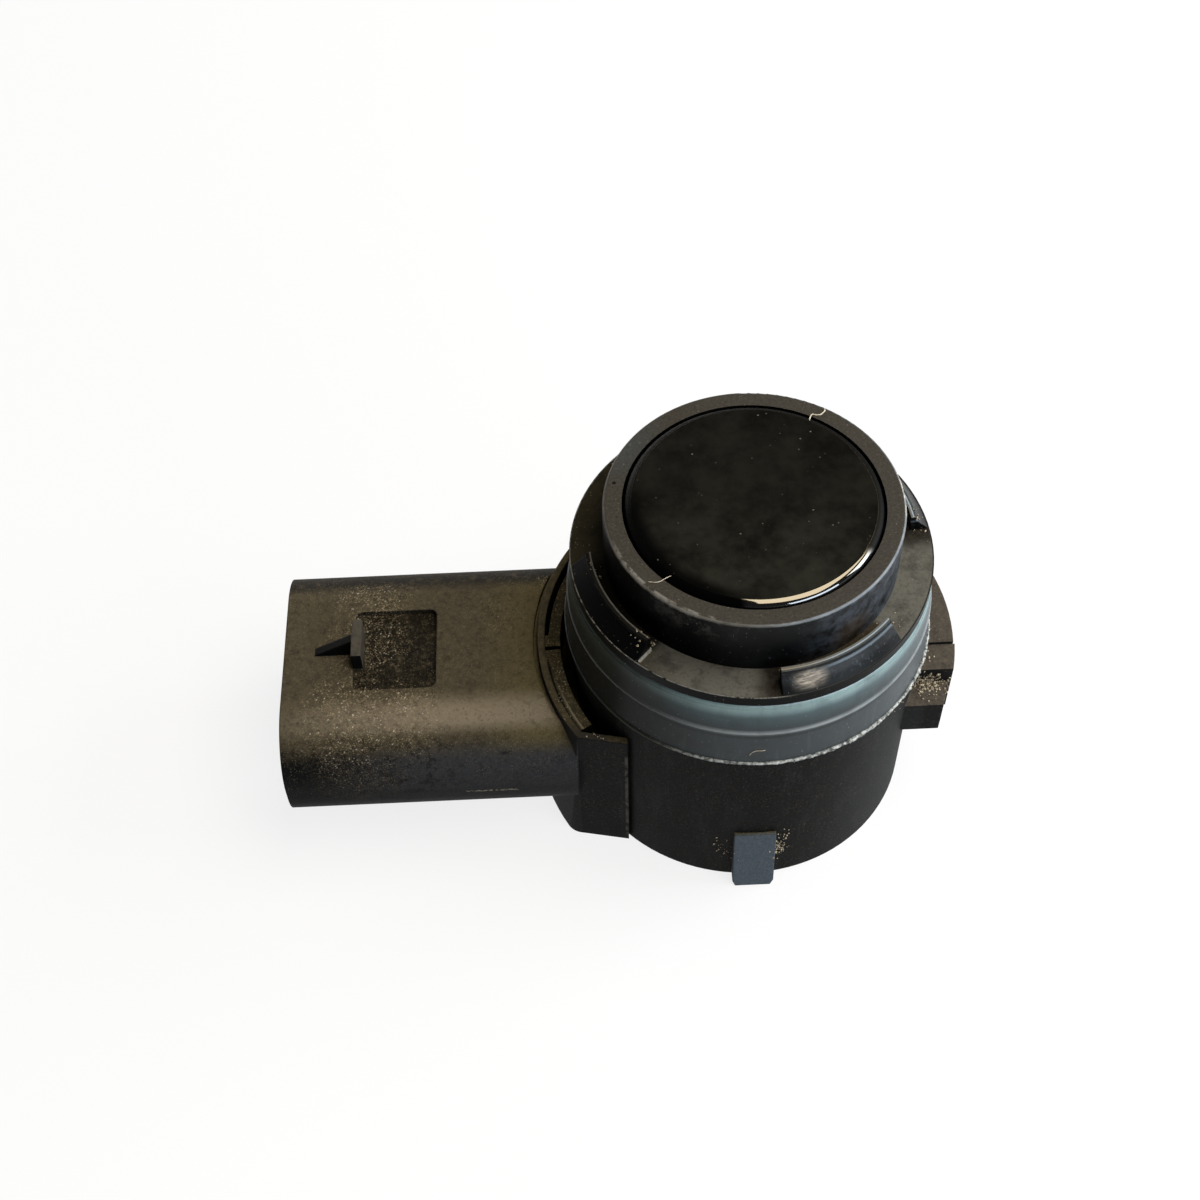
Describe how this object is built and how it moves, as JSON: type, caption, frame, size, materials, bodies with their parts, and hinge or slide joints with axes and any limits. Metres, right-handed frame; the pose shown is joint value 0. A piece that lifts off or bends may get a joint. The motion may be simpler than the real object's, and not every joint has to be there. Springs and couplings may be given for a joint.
{
  "type": "parking sensor",
  "caption": "Ultrasonic parking sensor: gloss round membrane in a soft ring, lugged collar and grey seal on a round body with a side connector arm.",
  "frame": {"origin": "on the sensing axis, at the flat rear face", "axes": "+Z along the sensing axis towards the membrane, -X along the connector arm to its mouth"},
  "size_m": [0.0435, 0.0255, 0.0252],
  "materials": {
    "black_plastic": "moulded, fine grain",
    "grey_silicone": "translucent satin",
    "black_silicone": "matte",
    "gloss_black": "gloss paint",
    "ceramic": "silvered ceramic",
    "foam": "soft foam",
    "contact_metal": "tin plated",
    "board": "solder resist",
    "chip": "moulded epoxy",
    "ferrite": "sintered",
    "copper": "enamelled wire",
    "chip_body": "ceramic chip",
    "potting": "cast resin"
  },
  "bodies": {
    "root": {"housing": "black_plastic", "rear_cover": "black_plastic", "lug_collar": "black_plastic", "seal_ring": "grey_silicone", "decoupling_ring": "black_silicone", "membrane_pot": "gloss_black", "piezo_disc": "ceramic", "damping_foam": "foam", "contact_carrier": "black_plastic", "signal_pin": "contact_metal", "ground_pin": "contact_metal", "signal_lead": "contact_metal", "ground_lead": "contact_metal", "circuit_board": "board", "driver_chip": "chip", "transformer_base": "chip", "transformer_core": "ferrite", "transformer_winding": "copper", "storage_capacitor": "chip_body", "protection_diode": "chip", "ceramic_capacitors": "chip_body", "resistors": "chip", "supply_terminal": "contact_metal", "signal_terminal": "contact_metal", "ground_terminal": "contact_metal", "potting_compound": "potting"}
  },
  "joints": []
}
